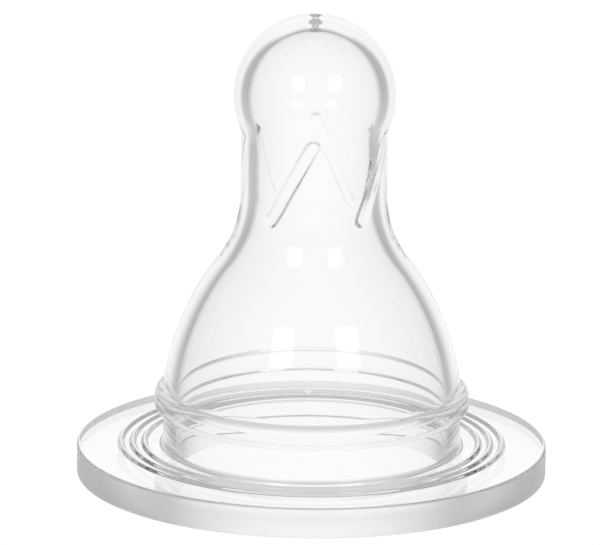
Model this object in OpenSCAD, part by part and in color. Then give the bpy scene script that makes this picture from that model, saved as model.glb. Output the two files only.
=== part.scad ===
// Soft feeding teat for a baby bottle, standard neck size.
// One clear silicone moulding, divided here into its named zones. Millimetres, +Z up.
// The origin is the centre of the flat underside of the flange, on the teat's axis.

/* [Flange] */
// Outer diameter of the round flange that the bottle rim clamps
flange_d = 38.2; // [37.4:0.1:40]
// Thickness of the flange
flange_h = 2.5; // [2:0.1:3]
// Rounding of the two outer edges of the flange
flange_edge = 0.2; // [0.1:0.05:0.4]

/* [Collar groove] */
// Radius of the groove that the hole of the screw collar grips
groove_r = 12.1; // [11.9:0.05:12.2]
// Rounding where the groove's wall meets the flange
groove_fillet = 0.4; // [0.2:0.05:0.6]
// Largest radius of the bead that keeps the collar on
bead_r = 12.8; // [12.7:0.05:13]
// Height of the middle of the bead
bead_z = 6.3; // [6.1:0.1:6.5]
// Height of the bead's straight face, between its two rounded edges
bead_land = 0.6; // [0.4:0.05:0.8]
// Rounding of the bead's two edges
bead_round = 0.7; // [0.6:0.05:0.75]
// Rounding of the creases below and above the bead
bead_fillet = 0.1; // [0.05:0.05:0.2]

/* [Shoulder and neck] */
// Thickness of the moulded wall
wall = 1.2; // [1:0.05:1.3]
// Radius that the shoulder dome would have at its widest circle
dome_r = 12.3; // [12.2:0.05:12.4]
// Height of the dome's widest circle, hidden inside the bead
dome_z = 4.55; // [4.3:0.05:4.8]
// Radius of curvature of the dome's side
dome_round = 22; // [20:0.5:24]
// Radius of curvature of the flare between dome and neck
flare_round = 9.4; // [8:0.1:11]
// Outer radius of the straight neck
neck_r = 5.92; // [5.7:0.01:6]

/* [Bulb] */
// Overall height of the teat
height = 38.15; // [37.8:0.05:38.6]
// Outer radius of the round feeding bulb
bulb_r = 6.55; // [6.4:0.05:6.7]
// Radius of the blend between neck and bulb
bulb_blend = 4.8; // [4:0.1:5.5]
// Wall thickness at the very tip, thicker than the side wall
tip_wall = 1.4; // [1.3:0.05:1.8]

/* [Holes] */
// Diameter of the feed hole at its narrow waist
feed_waist_d = 0.45; // [0.3:0.05:0.6]
// Diameter of the feed hole at its two mouths
feed_mouth_d = 0.85; // [0.7:0.05:1]
// Radius of curvature of the vent dimple in the top of the flange
vent_round = 0.55; // [0.4:0.05:0.7]
// Depth of the vent dimple below the top of the flange
vent_depth = 0.3; // [0.2:0.05:0.4]
// Distance of the vent dimple from the axis
vent_r = 15; // [14.8:0.1:15.2]
// Direction of the vent dimple about the axis, in degrees from +X
vent_angle = 91; // [0:1:359]

/* [Seal rings] */
// Radius of the innermost ridge at its crest
seal_first_r = 13.6; // [13.4:0.05:13.8]
// Spacing from one ridge to the next
seal_pitch = 0.95; // [0.8:0.05:1]
// Width of one ridge at its foot
seal_w = 0.7; // [0.5:0.05:0.75]
// Height of one ridge above the flange
seal_h = 0.2; // [0.15:0.05:0.3]

/* [Neck ribs] */
// Number of slanting ribs inside the neck, one node each
rib_count = 4; // [4]
// Width of one rib
rib_w = 1.3; // [1:0.05:1.5]
// Height of one rib above the inner wall
rib_h = 0.3; // [0.25:0.05:0.6]
// Height of the lower end of a rib's centre line
rib_low_z = 22; // [21:0.05:22.5]
// Height of the upper end of a rib's centre line
rib_high_z = 28.5; // [27:0.05:29]
// Direction of the first rib's lower end about the axis, in degrees from +X
rib_low_angle = 228; // [0:1:359]
// Turn of a rib about the axis from its lower to its upper end, in degrees
rib_turn = 41; // [20:1:60]

/* [Hidden] */

$fn = 96;
clear_silicone = [0.91, 0.92, 0.93, 0.55];
flange_r = flange_d / 2;
arc_steps = 12;
cut_past = 1;

// Dome and flare: two arcs that share a tangent
dome_c = [dome_r - dome_round, dome_z];
flare_x = neck_r + flare_round;
flare_z = dome_z + sqrt(pow(flare_round + dome_round, 2) - pow(flare_x - dome_c[0], 2));
flare_c = [flare_x, flare_z];
dome_end_a = atan2(flare_z - dome_z, flare_x - dome_c[0]);

// Bulb: sphere and blend, outside and inside
bulb_z = height - bulb_r;
bulb_in_z = height - tip_wall - (bulb_r - wall);

// Mouth: its bore is tangent to the inside of the dome
mouth_r = dome_r - wall;

// Bead: two rounded edges between two fillets, one against the groove's wall and one against the dome
bead_low_c = [bead_r - bead_round, bead_z - bead_land / 2];
bead_high_c = [bead_r - bead_round, bead_z + bead_land / 2];
bead_reach = bead_round + bead_fillet;
dome_gap = norm(dome_c - bead_high_c);
bead_end_a = 360 + atan2(dome_c[1] - bead_high_c[1], dome_c[0] - bead_high_c[0])
    - acos((pow(dome_gap, 2) + pow(bead_reach, 2) - pow(dome_round + bead_fillet, 2))
           / (2 * dome_gap * bead_reach));
crease_c = bead_high_c + bead_reach * [cos(bead_end_a), sin(bead_end_a)];
dome_start_a = atan2(crease_c[1] - dome_z, crease_c[0] - dome_c[0]);
dome_start_z = dome_z + dome_round * sin(dome_start_a);
under_c = [groove_r + bead_fillet,
    bead_low_c[1] - sqrt(pow(bead_reach, 2) - pow(groove_r + bead_fillet - bead_low_c[0], 2))];
under_end_a = atan2(bead_low_c[1] - under_c[1], bead_low_c[0] - under_c[0]);
under_end_z = under_c[1] + bead_fillet * sin(under_end_a);

// Ribs: cross-section and stations
rib_stations = 26;
rib_top_points = 8;
rib_base_points = 3;
rib_ring_points = rib_top_points + rib_base_points + 1;
rib_end_w = 0.04;

// Points on a circle of radius r about c, from angle a0 to angle a1
function arc(c, r, a0, a1, steps = arc_steps) =
    [for (i = [0:steps]) let (a = a0 + (a1 - a0) * i / steps) c + r * [cos(a), sin(a)]];

function reversed(list) = [for (i = [len(list) - 1:-1:0]) list[i]];

// Height at which the blend leaves the neck, below a bulb centred at ball_z
function blend_z(ball_z) =
    ball_z - sqrt(pow(bulb_r + bulb_blend, 2) - pow(neck_r + bulb_blend, 2));

// Angle, about the dome's centre, of the inner skin at height z
function inner_dome_a(z) = asin((z - dome_z) / (dome_round - wall));

// Inner skin of the dome between two heights
function inner_dome(z0, z1) = arc(dome_c, dome_round - wall, inner_dome_a(z0), inner_dome_a(z1), 4);

// Height of a ridge's surface above the flange, t from -1 to 1 across it: a smooth wave
function ridge_z(t) = seal_h * (1 + cos(180 * t)) / 2;

// Side of the teat from the dome to the top of the flare, this deep below the outer skin
function shoulder_skin(depth, start_a) =
    concat(arc(dome_c, dome_round - depth, start_a, dome_end_a),
           arc(flare_c, flare_round + depth, 180 + dome_end_a, 180));

// Side of the teat from the top of the neck to the tip
function bulb_skin(depth, ball_z) =
    let (blend_c = [neck_r + bulb_blend, blend_z(ball_z)],
         meet_a = atan2(ball_z - blend_c[1], blend_c[0]))
    concat(arc(blend_c, bulb_blend + depth, 180, 180 - meet_a),
           arc([0, ball_z], bulb_r - depth, -meet_a, 90, 3 * arc_steps));

// Inner radius of the wall at a height between the dome and the bulb
function inner_r(z) =
    let (blend_low = blend_z(bulb_in_z),
         blend_r = bulb_blend + wall,
         meet_z = bulb_in_z - (bulb_in_z - blend_low) * (bulb_r - wall) / (bulb_r + bulb_blend))
    z < flare_z ? flare_x - sqrt(pow(flare_round + wall, 2) - pow(flare_z - z, 2))
    : z < blend_low ? neck_r - wall
    : z < meet_z ? neck_r + bulb_blend - sqrt(pow(blend_r, 2) - pow(z - blend_low, 2))
    : sqrt(pow(bulb_r - wall, 2) - pow(z - bulb_in_z, 2));

// A ring with this outer and this inner outline, both listed from the bottom up
module ring(outer, inner) {
    rotate_extrude() polygon(concat(outer, reversed(inner)));
}

// The dimple's own puncture is a slit that is closed at rest, so it has no width
module vent_dimple() {
    rotate(vent_angle) translate([vent_r, 0, flange_h + vent_round - vent_depth])
        sphere(vent_round, $fn = 32);
}

module base_flange() {
    outer = concat(arc([flange_r - flange_edge, flange_edge], flange_edge, -90, 0, 6),
                   arc([flange_r - flange_edge, flange_h - flange_edge], flange_edge, 0, 90, 6));
    inner = [[mouth_r, 0], [mouth_r, flange_h]];
    color(clear_silicone) difference() {
        ring(outer, inner);
        vent_dimple();
    }
}

// One rounded ridge; index 0 is the innermost
module seal_ring(index) {
    crest_r = seal_first_r + index * seal_pitch;
    color(clear_silicone) difference() {
        rotate_extrude() translate([crest_r, flange_h])
            polygon([for (i = [0:arc_steps]) let (t = 1 - 2 * i / arc_steps)
                [seal_w / 2 * t, ridge_z(t)]]);
        vent_dimple();
    }
}

module collar_groove_wall() {
    outer = concat(arc([groove_r + groove_fillet, flange_h + groove_fillet], groove_fillet, 270, 180, 6),
                   arc(under_c, bead_fillet, 180, under_end_a, 6));
    inner = concat([[mouth_r, flange_h]], inner_dome(dome_z, under_end_z));
    color(clear_silicone) ring(outer, inner);
}

module collar_bead() {
    outer = concat(arc(bead_low_c, bead_round, under_end_a - 180, 0),
                   arc(bead_high_c, bead_round, 0, bead_end_a),
                   arc(crease_c, bead_fillet, bead_end_a + 180, 180 + dome_start_a, 6));
    color(clear_silicone) ring(outer, inner_dome(under_end_z, dome_start_z));
}

module shoulder_dome() {
    color(clear_silicone)
        ring(shoulder_skin(0, dome_start_a), shoulder_skin(wall, inner_dome_a(dome_start_z)));
}

module neck_wall() {
    outer = [[neck_r, flare_z], [neck_r, blend_z(bulb_z)]];
    inner = [[neck_r - wall, flare_z], [neck_r - wall, blend_z(bulb_in_z)]];
    color(clear_silicone) ring(outer, inner);
}

// One slanting rib: a rounded bar that lies on the inner wall and ends in half circles
module neck_rib(index) {
    low_a = rib_low_angle + index * 360 / rib_count;
    mean_r = neck_r - wall;
    run = [mean_r * rib_turn * PI / 180, rib_high_z - rib_low_z];
    length = norm(run);
    along = run / length;
    across = [along[1], -along[0]];
    // Distance along the centre line, with the stations closer together at the ends
    function station(i) = -rib_w / 2 + (length + rib_w) * (1 - cos(180 * i / rib_stations)) / 2;
    // Half width there, as a half circle over the last stretch of each end
    function half_w(s) =
        let (past = max(-s, s - length, 0))
        max(sqrt(max(pow(rib_w / 2, 2) - pow(past, 2), 0)), rib_end_w);
    // Point on the wall, or raised above it, at distance s along and t across
    function on_wall(s, t, raise) =
        let (p = s * along + t * across,
             a = low_a + p[0] / mean_r * 180 / PI,
             z = rib_low_z + p[1],
             r = inner_r(z) - raise)
        [r * cos(a), r * sin(a), z];
    points = [for (i = [0:rib_stations]) let (s = station(i), w = half_w(s), h = rib_h * w * 2 / rib_w)
        each concat(
            [for (j = [0:rib_top_points]) let (a = 180 * j / rib_top_points)
                on_wall(s, w * cos(a), h * sin(a))],
            [for (j = [1:rib_base_points]) on_wall(s, w * (2 * j / (rib_base_points + 1) - 1), 0)])];
    sides = [for (i = [0:rib_stations - 1], j = [0:rib_ring_points - 1])
        let (next = (j + 1) % rib_ring_points, a = i * rib_ring_points, b = a + rib_ring_points)
        [a + j, a + next, b + next, b + j]];
    first_end = [for (j = [rib_ring_points - 1:-1:0]) j];
    last_end = [for (j = [0:rib_ring_points - 1]) rib_stations * rib_ring_points + j];
    color(clear_silicone)
        polyhedron(points, concat(sides, [first_end], [last_end]), convexity = 4);
}

// Hourglass hole through the tip
module feed_hole() {
    mid_z = height - tip_wall / 2;
    half = tip_wall / 2 + cut_past;
    spread = feed_waist_d + (feed_mouth_d - feed_waist_d) * half / (tip_wall / 2);
    rotate_extrude() polygon([[0, mid_z - half], [spread / 2, mid_z - half], [feed_waist_d / 2, mid_z],
                              [spread / 2, mid_z + half], [0, mid_z + half]]);
}

module feeding_bulb() {
    color(clear_silicone) difference() {
        ring(bulb_skin(0, bulb_z), bulb_skin(wall, bulb_in_z));
        feed_hole();
    }
}

base_flange();
seal_ring(0);  // seal_ring_inner
seal_ring(1);  // seal_ring_middle
seal_ring(2);  // seal_ring_outer
collar_groove_wall();
collar_bead();
shoulder_dome();
neck_wall();
neck_rib(0);  // neck_rib_1
neck_rib(1);  // neck_rib_2
neck_rib(2);  // neck_rib_3
neck_rib(3);  // neck_rib_4
feeding_bulb();
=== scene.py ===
"""A clear silicone baby bottle teat on a lit table: one moulded skin around the CAD zones."""
import math

import bpy
from mathutils import Matrix, Vector


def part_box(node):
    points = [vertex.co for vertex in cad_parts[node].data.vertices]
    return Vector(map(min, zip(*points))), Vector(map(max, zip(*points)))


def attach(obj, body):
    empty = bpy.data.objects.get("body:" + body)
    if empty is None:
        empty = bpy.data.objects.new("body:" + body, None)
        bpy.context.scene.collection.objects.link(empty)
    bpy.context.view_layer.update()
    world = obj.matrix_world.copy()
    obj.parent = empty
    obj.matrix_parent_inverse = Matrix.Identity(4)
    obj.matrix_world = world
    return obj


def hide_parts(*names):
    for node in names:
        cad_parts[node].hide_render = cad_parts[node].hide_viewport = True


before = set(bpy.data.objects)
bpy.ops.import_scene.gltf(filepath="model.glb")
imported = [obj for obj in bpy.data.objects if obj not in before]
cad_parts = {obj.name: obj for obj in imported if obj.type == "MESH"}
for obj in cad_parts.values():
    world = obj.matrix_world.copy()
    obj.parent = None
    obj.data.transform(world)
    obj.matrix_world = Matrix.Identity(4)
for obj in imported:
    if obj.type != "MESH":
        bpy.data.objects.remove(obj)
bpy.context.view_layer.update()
MM = 0.001


# ---------------------------------------------------------------- values; sizes in millimetres

def cad_radii(node):
    """Smallest and largest distance of a CAD node from the teat's axis, in millimetres."""
    distances = [math.hypot(v.co.x, v.co.y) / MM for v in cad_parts[node].data.vertices]
    return min(distances), max(distances)


MOUTH_R, FLANGE_R = cad_radii("base_flange")
FLANGE_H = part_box("base_flange")[1].z / MM
NECK_IN_R, NECK_R = cad_radii("neck_wall")
WALL = NECK_R - NECK_IN_R
BEAD_R = cad_radii("collar_bead")[1]
BULB_R = cad_radii("feeding_bulb")[1]
SEAL_FOOT_R, SEAL_EDGE_R = cad_radii("seal_ring_inner")
SEAL_PITCH = cad_radii("seal_ring_middle")[0] - SEAL_FOOT_R
SEAL_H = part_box("seal_ring_inner")[1].z / MM - FLANGE_H

FLANGE_EDGE = 0.2
MOUTH_EDGE = 0.15
GROOVE_FILLET = 0.4
GROOVE_R = cad_radii("collar_groove_wall")[1] - GROOVE_FILLET
BEAD_Z = 6.3
BEAD_LAND = 0.6
BEAD_ROUND = 0.7
BEAD_FILLET = 0.1
DOME_R = 12.3
DOME_Z = 4.55
DOME_ROUND = 22.0
FLARE_ROUND = 9.4
HEIGHT = 38.15
BULB_BLEND = 4.8
TIP_WALL = 1.4
FEED_WAIST_R = 0.225
FEED_MOUTH_R = 0.425
FEED_EDGE = 0.08
SEAL_RINGS = 3

VENT_ROUND = 0.55
VENT_DEPTH = 0.3
VENT_FROM_AXIS = 15.0
VENT_ANGLE = math.radians(91)

RIB_COUNT = 4
RIB_W = 1.3
RIB_H = 0.3
RIB_FLANK = 0.5
RIB_LOW_Z = 22.0
RIB_HIGH_Z = 28.5
RIB_LOW_ANGLE = math.radians(228)
RIB_TURN = math.radians(41)

COLUMNS = 184
SHARP_EDGE = math.radians(50)
MERGE_WITHIN = 0.001

# Finish of the silicone, and a painted shade in the feed hole
SILICONE_IOR = 1.41
RIM_TRIM = 0.08
RIM_SATIN = 0.42
HOLE_SATIN = 0.3
HOLE_BELOW = 0.3
# painted shade: the colour that greys the pierced feed hole, standing in for the shade inside it
HOLE_PAINTED_SHADE = (0.55, 0.55, 0.55, 1)
CLEAR_LOW = (0.985, 0.985, 0.985, 1)
CLEAR_HIGH = (0.995, 0.993, 0.993, 1)
POLISH, POLISH_SPREAD = 0.002, 0.006
HAZE_SCALE, WAVE_SCALE = 260, 420
WAVE_STRENGTH, WAVE_DEPTH = 0.008, 0.0002

# Studio: the surround, the floor, the camera, the card and the softboxes; card and boxes stand in metres
SURROUND = 0.45
SURROUND_BELOW = 0.3
SURROUND_FRONT = 0.5
FLOOR_HALF = 1.0
FLOOR_Z = -0.02
WHITE = 1.03

CAMERA_DISTANCE = 600
CAMERA_ELEVATION = math.radians(14.8)
CAMERA_ROLL = math.radians(0.55)
AIM = Vector((-1.058, 0, 16.77))
VIEW_WIDTH = 48.62

CARD_AWAY = 2.5
CARD_HALF = 3.2
CARD_LIGHT = 0.98
CARD_SIDE, CARD_LOW, CARD_HIGH = 0.52, -0.3, 1.1
CARD_SIDE_SOFT, CARD_END_SOFT = 0.42, 0.5

BOX_LIGHT = 1.7
BOX_WIDE, BOX_TALL = 18, 17
BOX_RISE = 17
BOX_TURNS = (-26, 31)


# ---------------------------------------------------------------- node trees from expressions

class Wire:
    """An output of a node; arithmetic on it adds Math nodes to the same tree."""

    def __init__(self, graph, socket):
        self.graph, self.socket = graph, socket

    def __add__(self, other): return self.graph.maths("ADD", self, other)
    def __radd__(self, other): return self.graph.maths("ADD", other, self)
    def __sub__(self, other): return self.graph.maths("SUBTRACT", self, other)
    def __rsub__(self, other): return self.graph.maths("SUBTRACT", other, self)
    def __mul__(self, other): return self.graph.maths("MULTIPLY", self, other)
    def __rmul__(self, other): return self.graph.maths("MULTIPLY", other, self)
    def __truediv__(self, other): return self.graph.maths("DIVIDE", self, other)
    def __rtruediv__(self, other): return self.graph.maths("DIVIDE", other, self)
    def __pow__(self, other): return self.graph.maths("POWER", self, other)
    def __gt__(self, other): return self.graph.maths("GREATER_THAN", self, other)
    def __lt__(self, other): return self.graph.maths("LESS_THAN", self, other)

    def between(self, low, high):
        return self.graph.maths("MINIMUM", self.graph.maths("MAXIMUM", self, low), high)


class Graph:
    """One node tree, filled by node() and by arithmetic on its wires."""

    def __init__(self, tree):
        self.tree = tree

    def node(self, kind, settings=None, inputs=None, out=0):
        """Adds a node, sets its settings, then its sockets' values or links; returns one output."""
        made = self.tree.nodes.new(kind)
        for name, value in (settings or {}).items():
            setattr(made, name, value)
        for name, value in (inputs or {}).items():
            if isinstance(value, Wire):
                self.tree.links.new(value.socket, made.inputs[name])
            else:
                made.inputs[name].default_value = value
        return Wire(self, made.outputs[out]) if made.outputs else made

    def maths(self, operation, *values):
        return self.node("ShaderNodeMath", {"operation": operation}, dict(enumerate(values)))

    def split(self, vector):
        made = self.node("ShaderNodeSeparateXYZ", inputs={0: vector}).socket.node
        return [Wire(self, made.outputs[i]) for i in range(3)]


# ---------------------------------------------------------------- outline of the moulding

def arc(centre, radius, start, end, steps):
    """Points on an arc in the (radius, height) plane; angles in degrees."""
    return [(centre[0] + radius * math.cos(math.radians(start + (end - start) * i / steps)),
             centre[1] + radius * math.sin(math.radians(start + (end - start) * i / steps)))
            for i in range(steps + 1)]


def line(start, end, steps):
    """Points between two others, both ends left out."""
    return [(start[0] + (end[0] - start[0]) * i / steps, start[1] + (end[1] - start[1]) * i / steps)
            for i in range(1, steps)]


def flat(start, end, steps, hold=0.05):
    """Points of a straight stretch, both ends left out, with a close one next to each end."""
    length = math.dist(start, end)
    a = tuple(s + (e - s) * hold / length for s, e in zip(start, end))
    b = tuple(e - (e - s) * hold / length for s, e in zip(start, end))
    return [a, *line(a, b, steps), b]


FLARE_X = NECK_R + FLARE_ROUND
DOME_C = (DOME_R - DOME_ROUND, DOME_Z)
FLARE_Z = DOME_Z + math.sqrt((FLARE_ROUND + DOME_ROUND) ** 2 - (FLARE_X - DOME_C[0]) ** 2)
FLARE_C = (FLARE_X, FLARE_Z)
DOME_END = math.degrees(math.atan2(FLARE_Z - DOME_Z, FLARE_X - DOME_C[0]))
BULB_Z = HEIGHT - BULB_R
BULB_IN_Z = HEIGHT - TIP_WALL - (BULB_R - WALL)


def shoulder_side(depth, start, steps):
    """Dome and flare, this deep below the outer skin, from a start angle on the dome up to the neck."""
    return (arc(DOME_C, DOME_ROUND - depth, start, DOME_END, steps)
            + arc(FLARE_C, FLARE_ROUND + depth, 180 + DOME_END, 180, steps)[1:])


def bulb_side(depth, ball_z, end_r, steps):
    """Blend and bulb, this deep below the outer skin, from the neck up to the radius end_r."""
    blend_z = ball_z - math.sqrt((BULB_R + BULB_BLEND) ** 2 - (NECK_R + BULB_BLEND) ** 2)
    meet = math.degrees(math.atan2(ball_z - blend_z, NECK_R + BULB_BLEND))
    ball_r = BULB_R - depth
    return (arc((NECK_R + BULB_BLEND, blend_z), BULB_BLEND + depth, 180, 180 - meet, steps)
            + arc((0, ball_z), ball_r, -meet, math.degrees(math.acos(end_r / ball_r)), 3 * steps)[1:])


def crossing(c1, r1, c2, r2, side):
    """Angles, from each of two circle centres, of the circles' crossing on one side."""
    gap = math.dist(c1, c2)
    toward = math.atan2(c2[1] - c1[1], c2[0] - c1[0])
    turn = side * math.acos((gap ** 2 + r1 ** 2 - r2 ** 2) / (2 * gap * r1))
    x, y = c1[0] + r1 * math.cos(toward + turn), c1[1] + r1 * math.sin(toward + turn)
    return (x, y), math.degrees(toward + turn), math.degrees(math.atan2(y - c2[1], x - c2[0]))


def ridge(foot, half):
    """One seal ridge, a smooth wave from its outer foot to its inner one."""
    return [(foot + half * (1 + t), FLANGE_H + SEAL_H * (1 + math.cos(math.pi * t)) / 2)
            for t in [1 - i / 8 for i in range(17)]]


def flange_outline():
    """From the mouth's lower edge, out along the underside, up the rim and in to the groove."""
    rim = FLANGE_R - FLANGE_EDGE
    low = arc((rim, FLANGE_EDGE), FLANGE_EDGE, -90, 0, 5)
    high = arc((rim, FLANGE_H - FLANGE_EDGE), FLANGE_EDGE, 0, 90, 5)
    points = flat((MOUTH_R + MOUTH_EDGE, 0), low[0], 8) + low
    points += flat(low[-1], high[0], 4) + high
    half = (SEAL_EDGE_R - SEAL_FOOT_R) / 2
    last = high[-1]
    for ring in range(SEAL_RINGS - 1, -1, -1):
        bump = ridge(SEAL_FOOT_R + ring * SEAL_PITCH, half)
        points += flat(last, bump[0], 6 if ring == SEAL_RINGS - 1 else 2) + bump
        last = bump[-1]
    foot = arc((GROOVE_R + GROOVE_FILLET, FLANGE_H + GROOVE_FILLET), GROOVE_FILLET, 270, 180, 6)
    return points + flat(last, foot[0], 3) + foot


def collar_outline():
    """Up the groove's wall, round the bead and into the dome; also the dome's start angle."""
    low_c = (BEAD_R - BEAD_ROUND, BEAD_Z - BEAD_LAND / 2)
    high_c = (BEAD_R - BEAD_ROUND, BEAD_Z + BEAD_LAND / 2)
    reach = BEAD_ROUND + BEAD_FILLET
    under_c = (GROOVE_R + BEAD_FILLET,
               low_c[1] - math.sqrt(reach ** 2 - (GROOVE_R + BEAD_FILLET - low_c[0]) ** 2))
    under_end = math.degrees(math.atan2(low_c[1] - under_c[1], low_c[0] - under_c[0]))
    under = arc(under_c, BEAD_FILLET, 180, under_end, 6)
    start = (GROOVE_R, FLANGE_H + GROOVE_FILLET)
    crease_c, over_end, dome_start = crossing(high_c, reach, DOME_C, DOME_ROUND + BEAD_FILLET, -1)
    over_end %= 360
    low_edge = arc(low_c, BEAD_ROUND, under_end - 180, 0, 14)
    high_edge = arc(high_c, BEAD_ROUND, 0, over_end, 14)
    crease = arc(crease_c, BEAD_FILLET, over_end + 180, 180 + dome_start, 6)
    nose = low_edge[1:] + flat(low_edge[-1], high_edge[0], 3) + high_edge
    return flat(start, under[0], 4) + under + nose + crease[1:-1], dome_start


def tip_outline():
    """Down through the feed hole, from the outer mouth to the inner one."""
    top = BULB_Z + math.sqrt(BULB_R ** 2 - (FEED_MOUTH_R + FEED_EDGE) ** 2)
    low = BULB_IN_Z + math.sqrt((BULB_R - WALL) ** 2 - (FEED_MOUTH_R + FEED_EDGE) ** 2)
    mid = (top + low) / 2
    rim = [(FEED_MOUTH_R + FEED_EDGE * (1 - math.sin(a)), FEED_EDGE * (1 - math.cos(a)))
           for a in (math.pi / 8, math.pi / 4, math.pi * 3 / 8, math.pi / 2)]
    upper = [(r, top - d) for r, d in rim]
    lower = [(r, low + d) for r, d in reversed(rim)]
    waist = [(FEED_WAIST_R + (FEED_MOUTH_R - FEED_WAIST_R) * abs(t) ** 1.4, mid + t * (upper[-1][1] - mid))
             for t in [1 - i / 8 for i in range(1, 16)]]
    return upper + waist + lower


def teat_outline():
    """The closed outline in (radius, height), and for each point how far the ribs' shear applies."""
    collar, dome_start = collar_outline()
    outer = flange_outline() + collar + shoulder_side(0, dome_start, 36)
    outer += line((NECK_R, FLARE_Z), bulb_side(0, BULB_Z, 1, 4)[0], 8)
    outer += bulb_side(0, BULB_Z, FEED_MOUTH_R + FEED_EDGE, 14)
    dome_in = arc(DOME_C, DOME_ROUND - WALL, 0, DOME_END, 28)
    flare_in = arc(FLARE_C, FLARE_ROUND + WALL, 180 + DOME_END, 180, 46)[1:]
    bulb_in = bulb_side(WALL, BULB_IN_Z, FEED_MOUTH_R + FEED_EDGE, 18)
    neck_in = line((NECK_IN_R, FLARE_Z), bulb_in[0], 40)
    inner = dome_in + flare_in + neck_in + bulb_in
    low_edge = arc((MOUTH_R + MOUTH_EDGE, MOUTH_EDGE), MOUTH_EDGE, 180, 270, 4)
    bore = flat(inner[0], low_edge[0], 8)
    tip = tip_outline()
    loop = outer + tip + inner[::-1] + bore + low_edge
    fade_low, fade_high = RIB_LOW_Z - 5, RIB_HIGH_Z + 3

    def shear_share(z):
        rise = min(max((z - fade_low) / (RIB_LOW_Z - RIB_W - fade_low), 0), 1)
        fall = min(max((HEIGHT - TIP_WALL - z) / (HEIGHT - TIP_WALL - fade_high), 0), 1)
        return min(rise, fall)

    first_in = len(outer) + len(tip)
    shares = [shear_share(z) if first_in <= i < first_in + len(inner) else 0
              for i, (r, z) in enumerate(loop)]
    return loop, shares


def outline_object():
    """The outline as loose vertices, which the node tree turns about the axis."""
    points, shares = teat_outline()
    mesh = bpy.data.meshes.new("teat_outline")
    mesh.from_pydata([(r * MM, 0, z * MM) for r, z in points], [], [])
    attribute = mesh.attributes.new("shear_share", "FLOAT", "POINT")
    attribute.data.foreach_set("value", shares)
    return bpy.data.objects.new("teat_outline", mesh)


# ---------------------------------------------------------------- the moulded skin

def moulding_tree(inputs):
    """Turns an outline about the axis, raises the slanting ribs on the inner skin and presses the vent's
    shallow dimple into the flange.
    """
    tree = bpy.data.node_groups.new("moulded_teat", "GeometryNodeTree")
    tree.interface.new_socket("Geometry", in_out="OUTPUT", socket_type="NodeSocketGeometry")
    for name, (kind, value) in inputs.items():
        tree.interface.new_socket(name, in_out="INPUT", socket_type=kind)
    g = Graph(tree)
    group = tree.nodes.new("NodeGroupInput")
    given = {name: Wire(g, group.outputs[name]) for name in inputs}

    outline = g.node("GeometryNodeObjectInfo", inputs={"Object": given["Outline"]}, out="Geometry")
    count = g.node("GeometryNodeAttributeDomainSize", {"component": "MESH"}, {0: outline}, "Point Count")
    grid = g.node("GeometryNodeMeshGrid", inputs={
        "Size X": 1, "Size Y": 1, "Vertices X": count + 1, "Vertices Y": given["Columns"] + 1}, out="Mesh")
    place = g.node("GeometryNodeInputPosition")
    across, around, _ = g.split(place)
    step = g.maths("ROUND", (across + 0.5) * count)
    index = g.maths("FLOORED_MODULO", step, count)

    def of_outline(kind, value):
        return g.node("GeometryNodeSampleIndex", {"data_type": kind, "domain": "POINT"},
                      {"Geometry": outline, "Value": value, "Index": index})

    radius, _, height = g.split(of_outline("FLOAT_VECTOR", g.node("GeometryNodeInputPosition")))
    share = of_outline("FLOAT", g.node("GeometryNodeInputNamedAttribute", {"data_type": "FLOAT"},
                                       {"Name": "shear_share"}, "Attribute"))

    climb = given["Rib High"] - given["Rib Low"]
    along = (height - given["Rib Low"]) / climb
    angle = (around + 0.5) * math.tau + along.between(-0.2, 1.2) * given["Rib Turn"] * share
    pitch = math.tau / given["Rib Count"]
    from_rib = g.maths("WRAP", angle - given["Rib Low Angle"] - along * given["Rib Turn"],
                       pitch / 2, pitch / -2)
    width = given["Rib Width"] / 2
    mean_r = given["Neck Inner Radius"]
    side = (from_rib + along * given["Rib Turn"]) * mean_r
    rise = along * climb
    run = given["Rib Turn"] * mean_r
    length_2 = run * run + climb * climb
    foot = ((side * run + rise * climb) / length_2).between(0, 1)
    off_side, off_rise = side - foot * run, rise - foot * climb
    off = g.maths("SQRT", off_side * off_side + off_rise * off_rise) / width
    flank = ((1 - off) / given["Rib Flank"]).between(0, 1)
    raised = flank * flank * (3 - 2 * flank) * given["Rib Height"] * (share > 0.5)

    turned = g.node("ShaderNodeCombineXYZ", inputs={
        "X": (radius - raised) * g.maths("COSINE", angle),
        "Y": (radius - raised) * g.maths("SINE", angle), "Z": height})
    skin = g.node("GeometryNodeSetPosition", inputs={"Geometry": grid, "Position": turned})
    skin = g.node("GeometryNodeMergeByDistance", inputs={"Geometry": skin, "Distance": MERGE_WITHIN * MM})
    ball = g.node("GeometryNodeMeshUVSphere", inputs={
        "Segments": 48, "Rings": 32, "Radius": given["Vent Radius"]}, out="Mesh")
    ball = g.node("GeometryNodeTransform", inputs={"Geometry": ball, "Translation": given["Vent Place"]})
    dimpled = g.node("GeometryNodeMeshBoolean", {"operation": "DIFFERENCE", "solver": "EXACT"},
                     {"Mesh 1": skin, "Mesh 2": ball}, "Mesh")
    smooth = g.node("GeometryNodeSetShadeSmooth", {"domain": "FACE"},
                    {"Geometry": dimpled, "Shade Smooth": True})
    crease = g.node("GeometryNodeInputMeshEdgeAngle", out="Unsigned Angle") > SHARP_EDGE
    smooth = g.node("GeometryNodeSetShadeSmooth", {"domain": "EDGE"},
                    {"Geometry": smooth, "Selection": crease, "Shade Smooth": False})
    whole = g.node("GeometryNodeRealizeInstances", inputs={"Geometry": smooth})
    whole = g.node("GeometryNodeSetMaterial", inputs={"Geometry": whole, "Material": given["Material"]})
    g.node("NodeGroupOutput", inputs={0: whole})
    return tree


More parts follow.
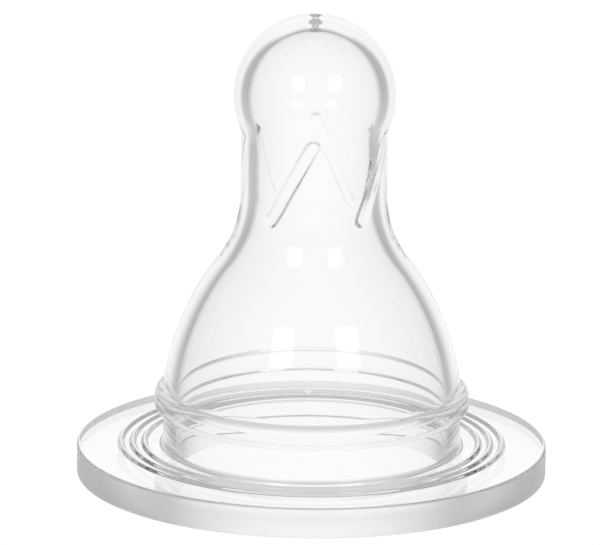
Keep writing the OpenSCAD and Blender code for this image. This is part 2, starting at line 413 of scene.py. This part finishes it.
def moulded_teat(material):
    """The whole moulding as one closed mesh."""
    number, whole, length = "NodeSocketFloat", "NodeSocketInt", "NodeSocketFloat"
    vent = Vector((VENT_FROM_AXIS * math.cos(VENT_ANGLE), VENT_FROM_AXIS * math.sin(VENT_ANGLE),
                   FLANGE_H + VENT_ROUND - VENT_DEPTH))
    inputs = {
        "Outline": ("NodeSocketObject", outline_object()),
        "Columns": (whole, COLUMNS),
        "Rib Count": (whole, RIB_COUNT),
        "Rib Width": (length, RIB_W * MM),
        "Rib Height": (length, RIB_H * MM),
        "Rib Flank": (number, RIB_FLANK),
        "Rib Low": (length, RIB_LOW_Z * MM),
        "Rib High": (length, RIB_HIGH_Z * MM),
        "Rib Low Angle": (number, RIB_LOW_ANGLE),
        "Rib Turn": (number, RIB_TURN),
        "Neck Inner Radius": (length, NECK_IN_R * MM),
        "Vent Radius": (length, VENT_ROUND * MM),
        "Vent Place": ("NodeSocketVector", vent * MM),
        "Material": ("NodeSocketMaterial", material),
    }
    base = bpy.data.objects.new("teat_base", bpy.data.meshes.new("teat_base"))
    bpy.context.scene.collection.objects.link(base)
    modifier = base.modifiers.new("moulding", "NODES")
    modifier.node_group = moulding_tree(inputs)
    for item in modifier.node_group.interface.items_tree:
        if item.in_out == "INPUT":
            modifier[item.identifier] = inputs[item.name][1]
    evaluated = base.evaluated_get(bpy.context.evaluated_depsgraph_get())
    mesh = bpy.data.meshes.new_from_object(evaluated)
    mesh.name = "silicone_teat"
    bpy.data.objects.remove(base)
    bpy.data.objects.remove(inputs["Outline"][1])
    teat = bpy.data.objects.new("silicone_teat", mesh)
    bpy.context.scene.collection.objects.link(teat)
    return teat


# ---------------------------------------------------------------- materials

def principled(name, **constants):
    """A material with only a Principled shader, its constant sockets set directly."""
    material = bpy.data.materials.new(name)
    material.use_nodes = True
    shader = material.node_tree.nodes["Principled BSDF"]
    for socket, value in constants.items():
        shader.inputs[socket.replace("_", " ")].default_value = value
    return material, Graph(material.node_tree), shader


def clear_silicone():
    """Colourless silicone: polished where it was moulded, satin on the trimmed rim and in the pierced hole,
    whose colour is greyed there as painted shade.
    """
    material, g, shader = principled("clear_silicone", IOR=SILICONE_IOR, Transmission_Weight=1.0)
    where = g.node("ShaderNodeTexCoord", out="Object")
    x, y, z = g.split(where)
    radius = g.maths("SQRT", x * x + y * y)
    rim = radius > (FLANGE_R - RIM_TRIM) * MM
    pierced = (radius < (FEED_MOUTH_R + FEED_EDGE) * MM) * (z > (HEIGHT - TIP_WALL - HOLE_BELOW) * MM)
    haze = g.node("ShaderNodeTexNoise", inputs={"Vector": where, "Scale": HAZE_SCALE, "Detail": 3})
    tone_and_painted_shade = g.node("ShaderNodeMix", {"data_type": "RGBA"}, {
        "Factor": haze, "A": CLEAR_LOW, "B": CLEAR_HIGH}, 2)
    # painted shade: the pierced hole's colour is greyed to darken it
    tone_and_painted_shade = g.node("ShaderNodeMix", {"data_type": "RGBA"}, {
        "Factor": pierced, "A": tone_and_painted_shade, "B": HOLE_PAINTED_SHADE}, 2)
    g.tree.links.new(tone_and_painted_shade.socket, shader.inputs["Base Color"])
    roughness = POLISH + haze * POLISH_SPREAD + rim * RIM_SATIN + pierced * HOLE_SATIN
    g.tree.links.new(roughness.socket, shader.inputs["Roughness"])
    wave = g.node("ShaderNodeTexNoise", inputs={"Vector": where, "Scale": WAVE_SCALE, "Detail": 1})
    bump = g.node("ShaderNodeBump", inputs={
        "Strength": WAVE_STRENGTH, "Distance": WAVE_DEPTH, "Height": wave})
    g.tree.links.new(bump.socket, shader.inputs["Normal"])
    return material


# ---------------------------------------------------------------- stage, camera and light

def pale_floor():
    """A plain white floor just under the flange, with the light let through it from every side."""
    mesh = bpy.data.meshes.new("pale_floor")
    corners = [(-FLOOR_HALF, -FLOOR_HALF), (FLOOR_HALF, -FLOOR_HALF), (FLOOR_HALF, FLOOR_HALF),
               (-FLOOR_HALF, FLOOR_HALF)]
    mesh.from_pydata([(x, y, FLOOR_Z * MM) for x, y in corners], [], [(0, 1, 2, 3)])
    floor = bpy.data.objects.new("pale_floor", mesh)
    bpy.context.scene.collection.objects.link(floor)
    material, g, shader = principled("white_floor", Base_Color=(0, 0, 0, 1), Roughness=1.0,
                                     Specular_IOR_Level=0.0, Emission_Color=(1, 1, 1, 1),
                                     Emission_Strength=WHITE)
    mesh.materials.append(material)
    lit_only_for_the_eye(floor)


def lit_only_for_the_eye(piece):
    """Seen by the camera, and by no other ray."""
    piece.visible_diffuse = piece.visible_glossy = piece.visible_transmission = False
    piece.visible_shadow = piece.visible_volume_scatter = False


def camera():
    """The camera in front of the teat, a little above it, looking slightly down."""
    data = bpy.data.cameras.new("camera")
    data.sensor_width = 36
    data.lens = data.sensor_width * CAMERA_DISTANCE / VIEW_WIDTH
    data.clip_start, data.clip_end = 0.01, 10
    made = bpy.data.objects.new("camera", data)
    back = Vector((0, -math.cos(CAMERA_ELEVATION), math.sin(CAMERA_ELEVATION)))
    turn = (-back).to_track_quat("-Z", "Y").to_matrix().to_4x4() @ Matrix.Rotation(CAMERA_ROLL, 4, "Z")
    made.matrix_world = Matrix.Translation((AIM + back * CAMERA_DISTANCE) * MM) @ turn
    bpy.context.scene.collection.objects.link(made)
    bpy.context.scene.camera = made
    return made


def carried(piece, stand, place, turn):
    """Fixes a lamp or a card to the camera, here called the stand, in the camera's own axes."""
    bpy.context.scene.collection.objects.link(piece)
    piece.parent = stand
    piece.matrix_local = Matrix.Translation(place) @ turn


def bright_backdrop(stand):
    """A bright card behind the teat, soft at its edges, that the camera itself doesn't see."""
    mesh = bpy.data.meshes.new("bright_backdrop")
    half = CARD_HALF * CARD_AWAY
    mesh.from_pydata([(-half, -half, 0), (half, -half, 0), (half, half, 0), (-half, half, 0)],
                     [], [(0, 1, 2, 3)])
    card = bpy.data.objects.new("bright_backdrop", mesh)
    carried(card, stand, (0, 0, -CARD_AWAY - CAMERA_DISTANCE * MM), Matrix())

    material = bpy.data.materials.new("backdrop_light")
    material.use_nodes = True
    g = Graph(material.node_tree)
    across, up, _ = g.split(g.node("ShaderNodeTexCoord", out="Object"))

    def fade(reach, soft):
        share = (reach / soft + 0.5).between(0, 1)
        return share * share * (3 - 2 * share)

    across, up = across / CARD_AWAY, up / CARD_AWAY
    lit = (fade(CARD_SIDE - across, CARD_SIDE_SOFT) * fade(CARD_SIDE + across, CARD_SIDE_SOFT)
           * fade(up - CARD_LOW, CARD_END_SOFT) * fade(CARD_HIGH - up, CARD_END_SOFT))
    clear = g.node("ShaderNodeBsdfTransparent")
    glow = g.node("ShaderNodeEmission", inputs={"Strength": CARD_LIGHT})
    mixed = g.node("ShaderNodeMixShader", inputs={0: lit, 1: clear, 2: glow})
    g.tree.links.new(mixed.socket, g.tree.nodes["Material Output"].inputs["Surface"])
    material.cycles.emission_sampling = "NONE"
    mesh.materials.append(material)
    card.visible_camera = False


def softbox(stand, turn):
    """A softbox in front of the teat, to one side of the camera."""
    data = bpy.data.lights.new("softbox", "AREA")
    data.shape = "RECTANGLE"
    data.size = 2 * CARD_AWAY * math.tan(math.radians(BOX_WIDE / 2))
    data.size_y = 2 * CARD_AWAY * math.tan(math.radians(BOX_TALL / 2))
    data.energy = BOX_LIGHT * math.pi * data.size * data.size_y
    side, rise = math.radians(turn), math.radians(BOX_RISE)
    way = Vector((math.cos(rise) * math.sin(side), math.sin(rise), math.cos(rise) * math.cos(side)))
    facing = Matrix.Rotation(side, 4, "Y") @ Matrix.Rotation(-rise, 4, "X")
    carried(bpy.data.objects.new("softbox", data), stand,
            way * CARD_AWAY - Vector((0, 0, CAMERA_DISTANCE * MM)), facing)


def studio_air():
    """Dim surround, brighter from below and in front, and plain white where the camera looks past."""
    world = bpy.data.worlds.new("studio")
    world.use_nodes = True
    g = Graph(world.node_tree)
    _, depth, height = g.split(g.node("ShaderNodeTexCoord", out="Generated"))
    below, in_front = (0 - height).between(0, 1), (0 - depth).between(0, 1)
    dim = SURROUND + below * SURROUND_BELOW + in_front * SURROUND_FRONT
    seen = g.node("ShaderNodeLightPath", out="Is Camera Ray")
    strength = dim + seen * (WHITE - dim)
    g.tree.links.new(strength.socket, g.tree.nodes["Background"].inputs["Strength"])
    g.tree.nodes["Background"].inputs["Color"].default_value = (1, 1, 1, 1)
    bpy.context.scene.world = world


scene = bpy.context.scene
scene.view_settings.view_transform = "Standard"
scene.cycles.max_bounces = 32
scene.cycles.transmission_bounces = 32
scene.cycles.glossy_bounces = 16
stand = camera()
pale_floor()
bright_backdrop(stand)
for turn in BOX_TURNS:
    softbox(stand, turn)
studio_air()

teat = moulded_teat(clear_silicone())
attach(teat, "root")
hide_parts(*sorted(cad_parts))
